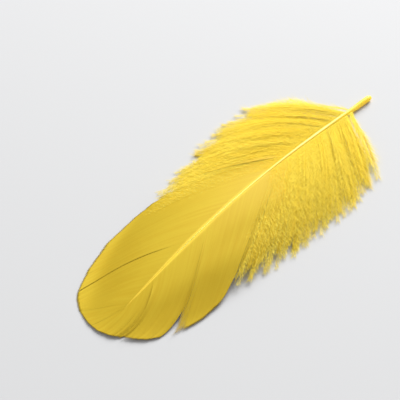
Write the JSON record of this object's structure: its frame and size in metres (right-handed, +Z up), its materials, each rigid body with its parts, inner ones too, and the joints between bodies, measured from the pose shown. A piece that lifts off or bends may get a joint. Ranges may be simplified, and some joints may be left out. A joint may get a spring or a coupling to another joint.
{
  "type": "goose feather",
  "caption": "Curved body feather lying down: a tapering shaft with a bare quill, two vanes split into locks at the tip, and a fringe of down at the base.",
  "frame": {"origin": "on the surface the feather lies on, under the middle of its length and width", "axes": "+X along the feather from the bare quill end to the vane's tip, +Z up off the surface, the feather's back and its raised shaft facing +Z"},
  "size_m": [0.1602, 0.07, 0.009],
  "materials": {
    "feather": "soft satin barbs, dyed yellow"
  },
  "bodies": {
    "root": {"feather": "feather"}
  },
  "joints": []
}
